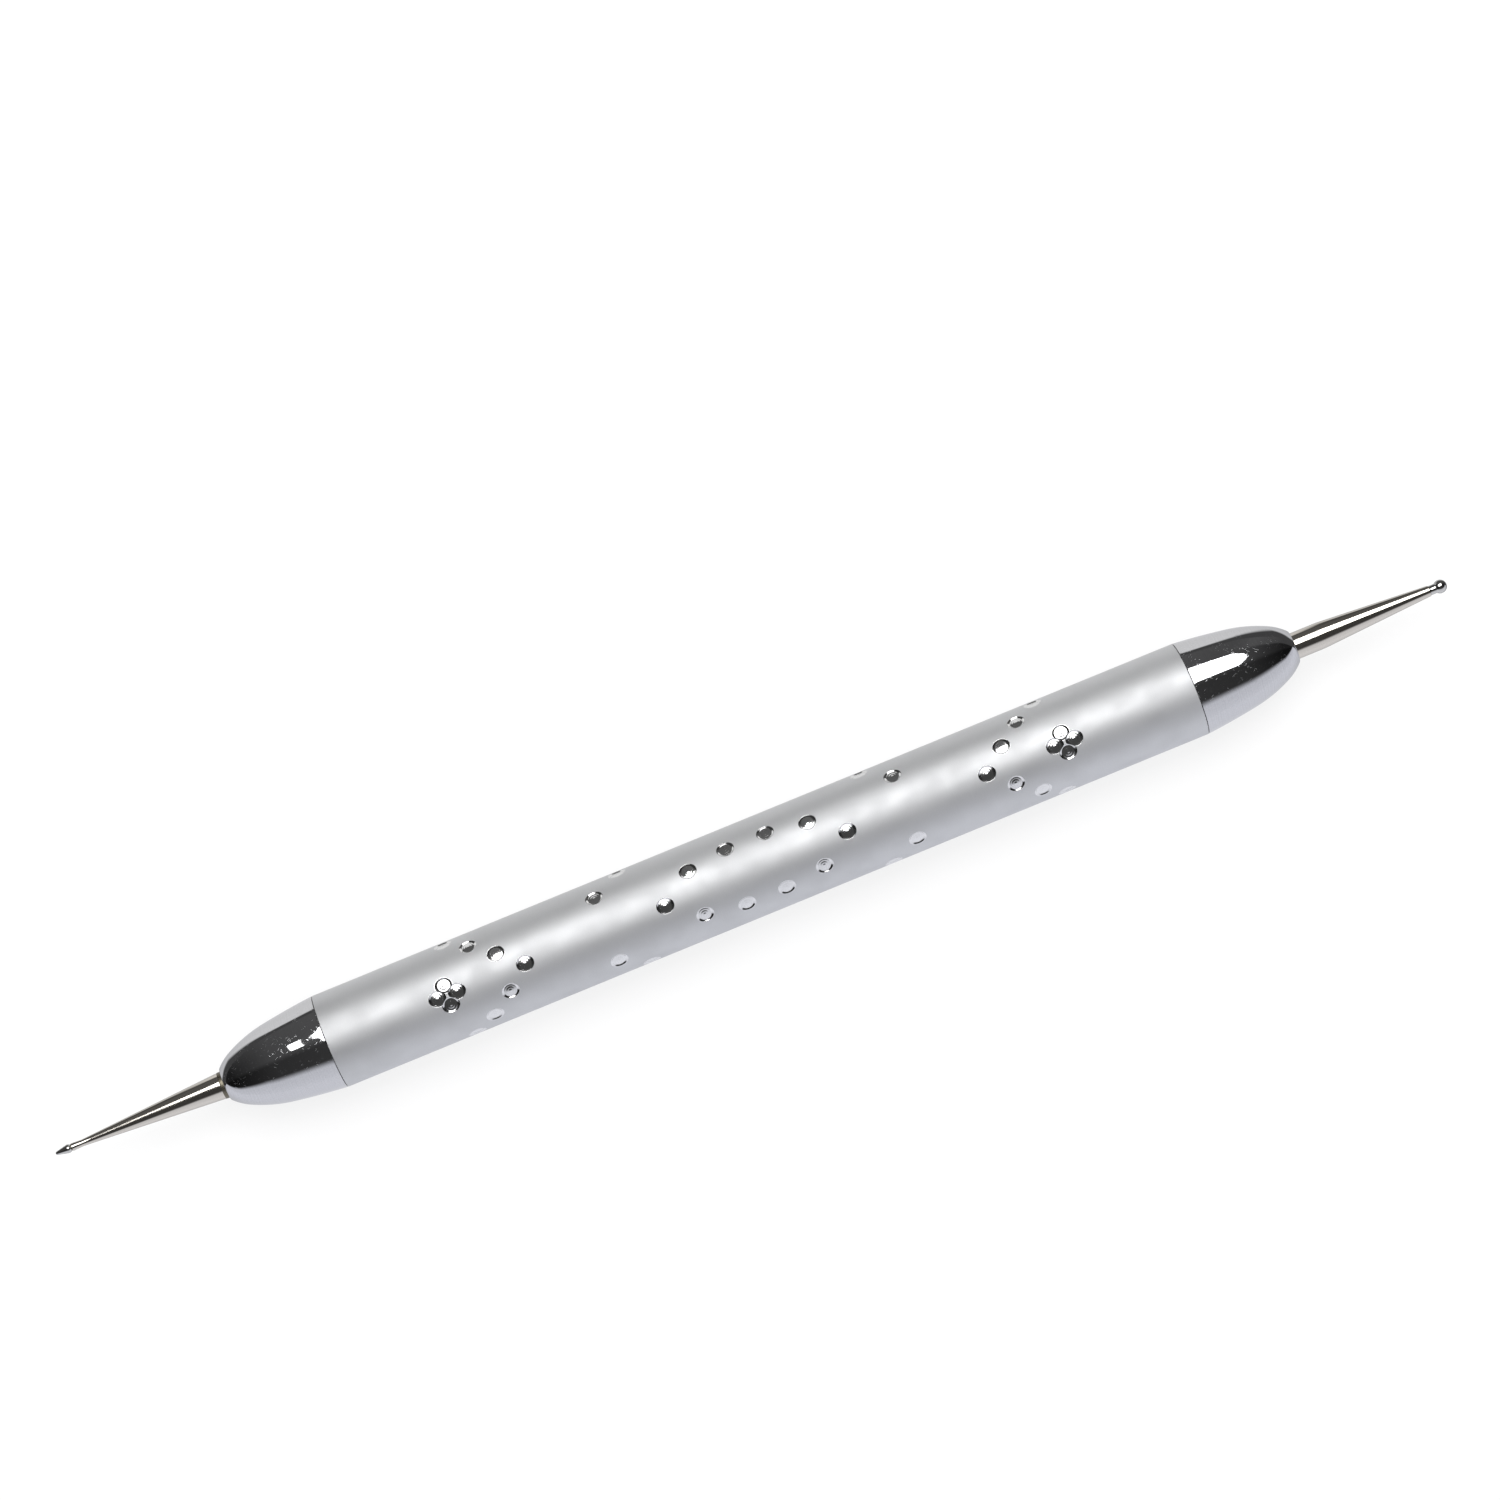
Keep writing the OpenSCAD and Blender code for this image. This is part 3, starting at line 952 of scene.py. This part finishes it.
        # the net takes its true normals, and the rest keeps Blender's own
        mesh = piece.data
        plain = np.zeros(len(mesh.loops) * 3, np.float32)
        mesh.corner_normals.foreach_get("vector", plain)
        plain = plain.reshape(-1, 3)[len(faces) * 3:]
        order = np.concatenate([normals[~cut].reshape(-1, 3), normals[cut].reshape(-1, 3), plain])
        mesh.normals_split_custom_set(order.tolist())
        told = mesh.attributes.new("cut_radius", "FLOAT", "POINT")
        values = np.concatenate([away, np.zeros(len(points) - len(away))])
        told.data.foreach_set("value", values.astype(np.float32))
        return piece

    def line(self, spots: Array, axis: int, value: float) -> Array:
        """Returns, in order, the numbers of the points where x (0) or angle (1) has a value."""
        row = np.nonzero(np.abs(spots[:, axis] - value) < self.SAME)[0]
        return row[np.argsort(spots[row, 1 - axis])]


# ---- The turned pieces


@dataclass(frozen=True)
class Bush:
    """The threaded brass bush that is pressed into one end of the barrel."""

    end: End
    outer_r: float = 3.29
    thread_r: float = 2.5
    thread_depth: float = 0.36
    recess: float = 0.3
    length: float = 9.6
    chamfer: float = 0.1
    lead: Pair = (0.2, 0.14)
    plain_back: float = 0.2
    plain_front: float = 0.3
    sunk: float = 0.02

    def build(self) -> Piece:
        """Makes the bush as a turned tube with a thread in it."""
        front, root = -self.recess, self.thread_r + self.thread_depth
        back, lead = front - self.length, self.lead
        rim = self.outer_r - self.chamfer
        tube = Outline(closed=True)
        tube.run([[back, root], [back, rim], [back + self.chamfer, self.outer_r],
                  [front - self.chamfer, self.outer_r], [front, rim],
                  [front, root + lead[1]], [front - lead[0], root]])
        thread = Thread(back + self.plain_back, self.length - self.plain_back - self.plain_front,
                        root + self.sunk, self.thread_r)
        points, blocks = joined([tube.turned(self.end, 96), thread.swept(self.end)])
        return make_piece(f"bush_{self.end.tag}_threaded", points, blocks, [BRASS])


@dataclass(frozen=True)
class Nose:
    """The chromed bullet nose at one end, with the screwed spigot behind it."""

    end: End
    barrel_r: float = 4.25
    length: float = 9.75
    mouth_r: float = 1.45
    slopes: tuple[float, float, float, float] = (5.25, 9.4, 26.4, 46.5)
    tip_curve_r: float = 5.0
    seam_gap: float = 0.1
    seam_shown: float = 0.045
    seam_skip: float = 0.1
    softening: float = 0.02
    soft_fall: float = 0.08
    mouth_soft: float = 0.035
    bore_r: float = 1.21
    bore_edge: float = 0.05
    bore_chamfer: float = 0.1
    spigot_r: float = 2.45
    spigot_len: float = 8.0
    spigot_chamfer: Pair = (0.25, 0.2)
    thread_depth: float = 0.36
    thread_sunk: float = 0.02
    thread_plain: Pair = (0.12, 0.3)
    relief_r: float = 2.05
    relief_len: float = 1.0
    relief_edge: Pair = (0.3, 0.35)

    @property
    def reach(self) -> float:
        """Returns the distance of the mouth from the barrel's end face."""
        return self.seam_gap + self.length

    def side(self) -> Array:
        """Draws the side as three arcs, each tangent to the next.

        On an arc of radius q that starts at slope s, the point at slope b lies
        q (sin b - sin s) further along and q (cos s - cos b) nearer the axis. The first two
        radii follow from the nose's length and its drop from the barrel to the mouth.

        Returns:
            Rows of [along, radius], the first at the seam and the last at the mouth.
        """
        angle = np.radians(self.slopes)
        runs, drops = np.diff(np.sin(angle)), -np.diff(np.cos(angle))
        left = [self.length - self.tip_curve_r * runs[2],
                self.barrel_r - self.mouth_r - self.tip_curve_r * drops[2]]
        first, second = np.linalg.solve([runs[:2], drops[:2]], left)
        q = np.array([first, second, self.tip_curve_r])
        start_x, start_r = (np.concatenate([[0], np.cumsum(q * part)[:-1]])[:, None]
                            for part in (runs, drops))
        bend = angle[:-1, None] + np.diff(angle)[:, None] * np.linspace(0, 1, 28)[:-1]
        from_s = angle[:-1, None]
        x = self.seam_gap + start_x + q[:, None] * (np.sin(bend) - np.sin(from_s))
        r = self.barrel_r - start_r - q[:, None] * (np.cos(from_s) - np.cos(bend))
        arcs = np.stack([x.ravel(), r.ravel()], -1)
        return np.concatenate([arcs, [[self.reach, self.mouth_r]]])

    def build(self) -> Piece:
        """Makes the nose, its bore, its spigot and the thread on it."""
        side, reach, chrome, machined = self.side(), self.reach, 0, 1
        line = Outline(closed=True)
        shown, soft = np.array([self.seam_shown, self.barrel_r]), self.softening
        after = shown + [soft, -self.soft_fall * soft]
        line.run(corner(shown - [0, soft], shown, after), chrome)
        first, last = self.seam_gap + self.seam_skip, reach - self.bore_edge
        line.run(side[(side[:, 0] > first) & (side[:, 0] < last)], chrome)
        soft, bore, edge = self.mouth_soft, self.bore_r, self.bore_edge
        rise = soft * np.tan(radians(self.slopes[3]))
        line.run(corner([reach - soft, self.mouth_r + rise], side[-1],
                        [reach, self.mouth_r - edge]), chrome)
        line.run([[reach, bore + edge], [reach - edge, bore]], chrome)

        root, back = self.spigot_r - self.thread_depth, -self.spigot_len
        relief, chamfer, cut = -self.relief_len, self.spigot_chamfer, self.bore_chamfer
        line.run([[reach - cut, bore], [back + cut, bore], [back, bore + cut],
                  [back, root - chamfer[1]], [back + chamfer[0], root],
                  [relief + self.relief_edge[0], root],
                  [relief + self.relief_edge[1], self.relief_r],
                  [0, self.relief_r], [self.seam_shown, self.relief_r]], machined)
        thread = Thread(back + self.thread_plain[0],
                        self.spigot_len - self.relief_len - self.thread_plain[1],
                        root - self.thread_sunk, self.spigot_r, machined)
        points, blocks = joined([line.turned(self.end, 128), thread.swept(self.end)])
        return make_piece(f"nose_{self.end.tag}_plated", points, blocks, [CHROME, MACHINED])


@dataclass(frozen=True)
class Shank:
    """A ground steel shank that tapers from the nose's mouth to its tip.

    Its front is the outline from the end of the taper to the end face, as [along, radius].
    """

    end: End
    front: tuple[Pair, ...]
    mouth_ring: float = 0.0
    ring_swell: float = 0.035
    ring_sunk: float = 0.02
    plain: float = 0.2
    radius: float = 1.2
    taper: float = 3.93
    bend_half: float = 0.35
    back: float = -7.6
    edge: float = 0.25
    nose_reach: float = 9.85
    pin_r: float = 0.19
    pin_len: float = 1.62
    tip_ring: float = 0.12
    tip_ring_drop: float = 0.004
    tip_edge: float = 0.03

    def build(self) -> Piece:
        """Makes the shank from its inner end to the hole for the tip's pin."""
        front, mouth, radius = np.array(self.front), self.nose_reach, self.radius
        end_x, end_r = front[-1]
        fall = np.tan(radians(self.taper))
        taper_x = front[0, 0] - (radius - front[0, 1]) / fall
        steel, ring = 0, 1
        line = Outline()
        line.run([[self.back, 0], [self.back, radius - self.edge],
                  [self.back + self.edge, radius], [mouth - self.plain, radius]], steel)
        if self.mouth_ring:
            # painted shade: the bead where the shank leaves the nose's mouth wears the dark ring
            # finish, for the shade in that gap
            swell = [mouth + self.mouth_ring / 2, radius + self.ring_swell]
            bead = corner([mouth - self.ring_sunk, radius], swell,
                          [mouth + self.mouth_ring, radius], 7)
            line.run(bead[:-1], ring).run(bead[-1:], steel)
        else:
            line.run([[mouth, radius]], steel)
        half = self.bend_half
        bend = corner([taper_x - half, radius], [taper_x, radius],
                      [taper_x + half, radius - half * fall], 6)
        line.run(bend, steel)
        line.run(bend[-1] + (front[0] - bend[-1]) * np.linspace(0, 1, 14)[1:, None], steel)
        if len(front) > 1:
            line.run(front[1:-1], steel)
            line.run([[end_x - self.tip_ring, end_r - self.tip_ring_drop]], steel)
        # painted shade: the chamfer and end face at the shank's tip wear the dark ring finish
        line.run([[end_x - self.tip_edge, end_r], [end_x, end_r - self.tip_edge]], ring)
        line.run([[end_x, self.pin_r], [end_x - self.pin_len, self.pin_r],
                  [end_x - self.pin_len, 0]], steel)
        points, blocks = line.turned(self.end, 72)
        return make_piece(f"shank_{self.end.tag}_ground", points, blocks, [STEEL, PAINTED_SHADE_RING])


@dataclass(frozen=True)
class BallTip:
    """The ball tip with its neck and the pin that holds it in the shank."""

    end: End = End.BALL
    shank_end: float = 22.707
    gap: float = 0.005
    ball_z: float = 23.74
    ball_r: float = 0.61
    neck_r: float = 0.43
    neck_edge: float = 0.03
    fillet: float = 0.06
    fillet_rise: float = 0.03
    pin_r: float = 0.18
    pin_len: float = 1.6

    def build(self) -> Piece:
        """Makes the tip: the pin, the neck with a fillet, and the ball as one arc."""
        start = np.arcsin((self.neck_r + self.fillet_rise) / self.ball_r)
        ball = arc(self.ball_z, self.ball_r, np.linspace(start, pi, 40))
        ball[-1, 1] = 0
        neck_end = self.ball_z - np.sqrt(self.ball_r ** 2 - self.neck_r ** 2)
        seat, pin_back = self.shank_end + self.gap, self.shank_end - self.pin_len
        line = Outline()
        line.run([[pin_back, 0], [pin_back, self.pin_r], [seat, self.pin_r]])
        # painted shade: the edge of the seat where the ball tip meets the shank wears the dark
        # ring finish
        line.run([[seat, self.neck_r - self.neck_edge]], 1)
        line.run([[seat + self.neck_edge, self.neck_r]])
        line.run(corner([neck_end - self.fillet, self.neck_r], [neck_end, self.neck_r],
                        ball[0])[:-1])
        points, blocks = line.run(ball).turned(self.end, 64)
        return make_piece("ball_tip_polished", points, blocks, [TIP_STEEL, PAINTED_SHADE_RING], 50.0)


@dataclass(frozen=True)
class TeardropTip:
    """The teardrop tip: a large ball drawn out to a small one, on a groove and a pin."""

    end: End = End.TEARDROP
    point: float = 25.73
    length: float = 1.42
    gap: float = 0.004
    big_r: float = 0.39
    small_r: float = 0.16
    groove_r: float = 0.28
    groove_len: float = 0.08
    pin_r: float = 0.18
    pin_len: float = 1.6

    def build(self) -> Piece:
        """Makes the tip: the pin, the groove, and two arcs with the cone that touches both."""
        groove_end = self.point - self.length
        shank_end = groove_end - self.groove_len
        big = groove_end + np.sqrt(self.big_r ** 2 - self.groove_r ** 2)
        small = self.point - self.small_r
        meet = pi / 2 + np.arcsin((self.big_r - self.small_r) / (small - big))
        start = np.arcsin(self.groove_r / self.big_r)
        swell = arc(big, self.big_r, np.linspace(start, meet, 24))
        nib = arc(small, self.small_r, np.linspace(meet, pi, 14))
        nib[-1, 1] = 0
        seat, pin_back = shank_end + self.gap, shank_end - self.pin_len
        line = Outline()
        line.run([[pin_back, 0], [pin_back, self.pin_r], [seat, self.pin_r]])
        # painted shade: the groove behind the teardrop wears the dark ring finish
        line.run([[seat, self.groove_r], [groove_end, self.groove_r]], 1)
        line.run(swell)
        line.run(swell[-1] + (nib[0] - swell[-1]) * np.linspace(0, 1, 6)[1:-1, None])
        points, blocks = line.run(nib).turned(self.end, 56)
        return make_piece("teardrop_tip_polished", points, blocks, [TIP_STEEL, PAINTED_SHADE_RING], 50.0)


# ---- The studio


@dataclass(frozen=True)
class Lamp:
    """An evenly lit panel overhead, on one side of straight up from the tool's axis.

    Its outline is given on its own plane in millimetres, as distances along X and up the lean,
    from the point that squarely faces the middle of the tool. The lean is the angle from
    straight up towards +Y.
    """

    name: str
    outline: tuple[Pair, ...]
    lean: float = 24.0
    distance: float = 500.0
    radiance: float = 5.1

    def build(self) -> None:
        """Hangs the panel, which lights the scene but isn't seen by the camera itself."""
        sin, cos = np.sin(radians(self.lean)), np.cos(radians(self.lean))
        along, up = np.array(self.outline).T
        y, z = self.distance * sin + up * cos, AXIS_Z + self.distance * cos - up * sin
        mesh = bpy.data.meshes.new(self.name)
        mesh.from_pydata((np.stack([along, y, z], -1) * MM).tolist(), [],
                         [list(range(len(along)))[::-1]])
        material, sheet, _ = new_material(self.name)
        sheet.tree.nodes.clear()
        glow = sheet.add("ShaderNodeEmission", {"Strength": self.radiance})
        sheet.add("ShaderNodeOutputMaterial", {"Surface": glow.outputs[0]})
        mesh.materials.append(material)
        panel = placed(self.name, mesh)
        panel.visible_camera = panel.visible_shadow = False


@dataclass(frozen=True)
class Studio:
    """The pale floor, the lamps overhead, and the surroundings that the metal mirrors.

    The floor's sizes are metres.
    Two numbers are where a passage starts and ends: metres on the floor, degrees from straight
    up towards -Y, or parts of a direction that has length 1. Two more are its values there.
    """

    floor_half: float = 6.0
    floor_base: float = 0.2
    floor_glow: float = 0.74
    floor_dark: float = 0.085
    sheet_ends: Pair = (0.052, 0.058)
    sheet_far: Pair = (0.035, 0.060)
    sheet_near: Pair = (-0.009, -0.004)
    under_far: Pair = (0.007, 0.011)
    under_ends: Pair = (0.066, 0.074)
    # the painted shadow under the tool, as the metal sees the floor: half width and fade in
    # metres, and its least level
    painted_shadow_half: float = 0.002
    painted_shadow_fade: float = 0.004
    painted_shadow_least: float = 0.55
    tint_step: Pair = (-0.01, 0.01)
    pale: tuple[float, float, float] = (0.965, 0.98, 1.05)
    ceiling: tuple[float, ...] = (0.26, 0.9, 0.12, 0.02)
    ceiling_fall: tuple[float, ...] = (-20, 0, 1, 0.45)
    right_glow: tuple[float, ...] = (0.35, 0.6, 0, 0.06)
    right_fall: tuple[float, ...] = (-60, -50, 1, 0)
    wall: tuple[float, ...] = (36.5, 57, 0, 0.87)
    wall_top: tuple[float, ...] = (60, 100, 0, 0.13)
    wall_late: tuple[float, ...] = (-0.95, -0.55, 14, 0)
    lamps: tuple[Lamp, ...] = (
        Lamp("soft_box", ((-191, 5), (-172, -85), (-158, -125), (-100, -145), (60, -145),
                          (188, -118), (283, -108), (290, -50), (318, 2), (324, 60), (318, 118),
                          (288, 165), (283, 230), (188, 240), (100, 200), (0, 180), (-100, 175),
                          (-158, 165), (-172, 158), (-191, 82))),
        Lamp("slim_lamp", ((-234, -60), (-211, -60), (-211, 94), (-234, 94))),
    )

    def build(self) -> None:
        """Builds the floor, the lamps and the surroundings."""
        self.floor()
        for lamp in self.lamps:
            lamp.build()
        self.surroundings()
        view = bpy.context.scene.view_settings
        view.view_transform = "Standard"
        view.look = "None"

    def floor(self) -> None:
        """Lays the floor that the tool rests on."""
        h = self.floor_half
        mesh = bpy.data.meshes.new("floor")
        mesh.from_pydata([(-h, -h, 0), (h, -h, 0), (h, h, 0), (-h, h, 0)], [], [(0, 1, 2, 3)])
        mesh.materials.append(self.paper())
        placed("floor", mesh)

    def paper(self) -> bpy.types.Material:
        """Makes the floor's material: backlit, glowing paper to the eye, and for the metal a
        glowing pale sheet that ends beyond the tool's far side and beside its noses, with a
        painted shadow under the tool."""
        material, sheet, shader = new_material("floor_paper")
        for key, value in (("Specular IOR Level", 0.0), ("Roughness", 0.9),
                           ("Emission Color", (1, 1, 1, 1)),
                           ("Emission Strength", self.floor_glow)):
            shader.inputs[key].default_value = value
        grain = effects.place(sheet, Effect.GRAIN, {"Scale": 3.0, "Drift Scale": 0.02})
        tone = self.floor_base
        color = sheet.blend(grain.outputs["Drift"], (tone, tone, tone * 1.01, 1),
                            (tone * 1.03, tone * 1.03, tone * 1.03, 1))
        sheet.link(color, shader, "Base Color")

        x, y, _ = sheet.apart(sheet.place())
        side = sheet.math("ABSOLUTE", x)
        beside, beyond, under, hither = (
            sheet.spread(value, *passage, 1, 0, smooth=True)
            for value, passage in ((side, self.sheet_ends), (y, self.sheet_far),
                                   (y, self.under_far), (y, self.sheet_near)))
        under = sheet.times(under, sheet.spread(side, *self.under_ends, 1, 0))
        lit = sheet.math("MAXIMUM", sheet.times(beside, beyond),
                         sheet.math("MAXIMUM", under, hither))
        # painted shadow: the glowing sheet that the metal sees dims to the least level along the
        # strip under the tool, in place of the tool's own shade
        gap = sheet.math("SUBTRACT", sheet.math("ABSOLUTE", y), self.painted_shadow_half)
        shade = sheet.math("EXPONENT", sheet.times(sheet.math("MAXIMUM", gap, 0),
                                                   -1 / self.painted_shadow_fade))
        level = sheet.times(sheet.spread(lit, 0, 1, self.floor_dark, 1),
                            sheet.spread(shade, 0, 1, 1, self.painted_shadow_least))
        tint = sheet.blend(sheet.spread(y, *self.tint_step), (*self.pale, 1), (1, 1, 1, 1))
        mirrored = sheet.add("ShaderNodeEmission", {"Color": tint, "Strength": level})
        path = sheet.add("ShaderNodeLightPath")
        mixed = sheet.add("ShaderNodeMixShader", {0: path.outputs["Is Glossy Ray"],
                                                  1: shader.outputs[0], 2: mirrored.outputs[0]})
        sheet.link(mixed.outputs[0], sheet.tree.nodes["Material Output"], "Surface")
        return material

    def surroundings(self) -> None:
        """Makes the world: even light on the floor, and for the metal a dark ceiling with a
        pale side wall, by the angle from straight up towards -Y."""
        world = bpy.data.worlds.new("studio")
        world.use_nodes = True
        bpy.context.scene.world = world
        sheet = NodeSheet(world.node_tree)
        sheet.tree.nodes.clear()
        x, y, z = sheet.apart(sheet.place("Generated"))
        angle = sheet.times(sheet.math("ARCTAN2", sheet.times(y, -1.0), z), 180 / pi)
        right = sheet.times(sheet.spread(x, *self.right_glow, smooth=True),
                            sheet.spread(angle, *self.right_fall, smooth=True))
        dark = sheet.total(sheet.spread(sheet.math("ABSOLUTE", x), *self.ceiling), right)
        dark = sheet.times(dark, sheet.spread(angle, *self.ceiling_fall, smooth=True))
        turned = sheet.math("SUBTRACT", angle, sheet.spread(x, *self.wall_late))
        wall = sheet.total(sheet.spread(turned, *self.wall, smooth=True),
                           sheet.spread(turned, *self.wall_top))
        gloom = sheet.add("ShaderNodeCombineColor", {0: dark, 1: dark, 2: dark}).outputs[0]
        seen = sheet.blend(wall, gloom, (*self.pale, 1.0))
        path = sheet.add("ShaderNodeLightPath")
        color = sheet.blend(path.outputs["Is Glossy Ray"], (1.0, 1.0, 1.0, 1.0), seen)
        shade = sheet.add("ShaderNodeBackground", {"Color": color, "Strength": 1.0})
        sheet.add("ShaderNodeOutputWorld", {"Surface": shade.outputs[0]})


@dataclass(frozen=True)
class Camera:
    """The camera, almost straight above, turned so that the tool rises to the right.

    Its clip distances are metres.
    """

    place: tuple[float, float, float] = (-5.5455, 13.786, 403.096)
    aim: tuple[float, float, float] = (3.5875, 9.63, 4.25)
    slant: float = 22.25
    lens: float = 109.78
    sensor: float = 36.0
    clip: Pair = (0.01, 20.0)

    def build(self) -> None:
        """Places the camera: its X axis lies along the slant, square to the line of sight."""
        data = bpy.data.cameras.new("camera")
        data.lens, data.sensor_width = self.lens, self.sensor
        data.clip_start, data.clip_end = self.clip
        place, slant = Vector(self.place) * MM, radians(self.slant)
        back = (place - Vector(self.aim) * MM).normalized()
        right = Vector((np.cos(slant), -np.sin(slant), 0))
        up = back.cross(right).normalized()
        turn = Matrix((up.cross(back).normalized(), up, back)).transposed().to_4x4()
        camera = placed("camera", data)
        camera.matrix_world = Matrix.Translation(place) @ turn
        bpy.context.scene.camera = camera


def fit(piece: Piece, body: str, node: str) -> None:
    """Fits a piece to its body, in the place of its CAD node.

    Args:
        piece: The piece.
        body: Body that it moves with.
        node: CAD node that it stands for.
    """
    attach(piece, body)
    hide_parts(node)
    log.info("%s: %d faces", piece.name, len(piece.data.polygons))


def main() -> None:
    """Builds the whole tool, the studio and the camera."""
    fit(Barrel().build(), "handle", "barrel")
    for end in End:
        fit(Bush(end).build(), "handle", f"bush_{end.tag}")
        fit(Nose(end).build(), end.body, f"nose_{end.tag}")
    drop = Shank(End.TEARDROP, front=((23.23, 0.30), (24.1, 0.345), (24.23, 0.35)),
                 mouth_ring=0.36)
    fit(drop.build(), End.TEARDROP.body, "shank_teardrop_end")
    ball = Shank(End.BALL, front=((22.707, 0.49),))
    fit(ball.build(), End.BALL.body, "shank_ball_end")
    fit(TeardropTip().build(), End.TEARDROP.body, "teardrop_tip")
    fit(BallTip().build(), End.BALL.body, "ball_tip")
    Studio().build()
    Camera().build()


if __name__ == "__main__":
    logging.basicConfig(level=logging.INFO, format="%(name)s %(message)s")
    main()
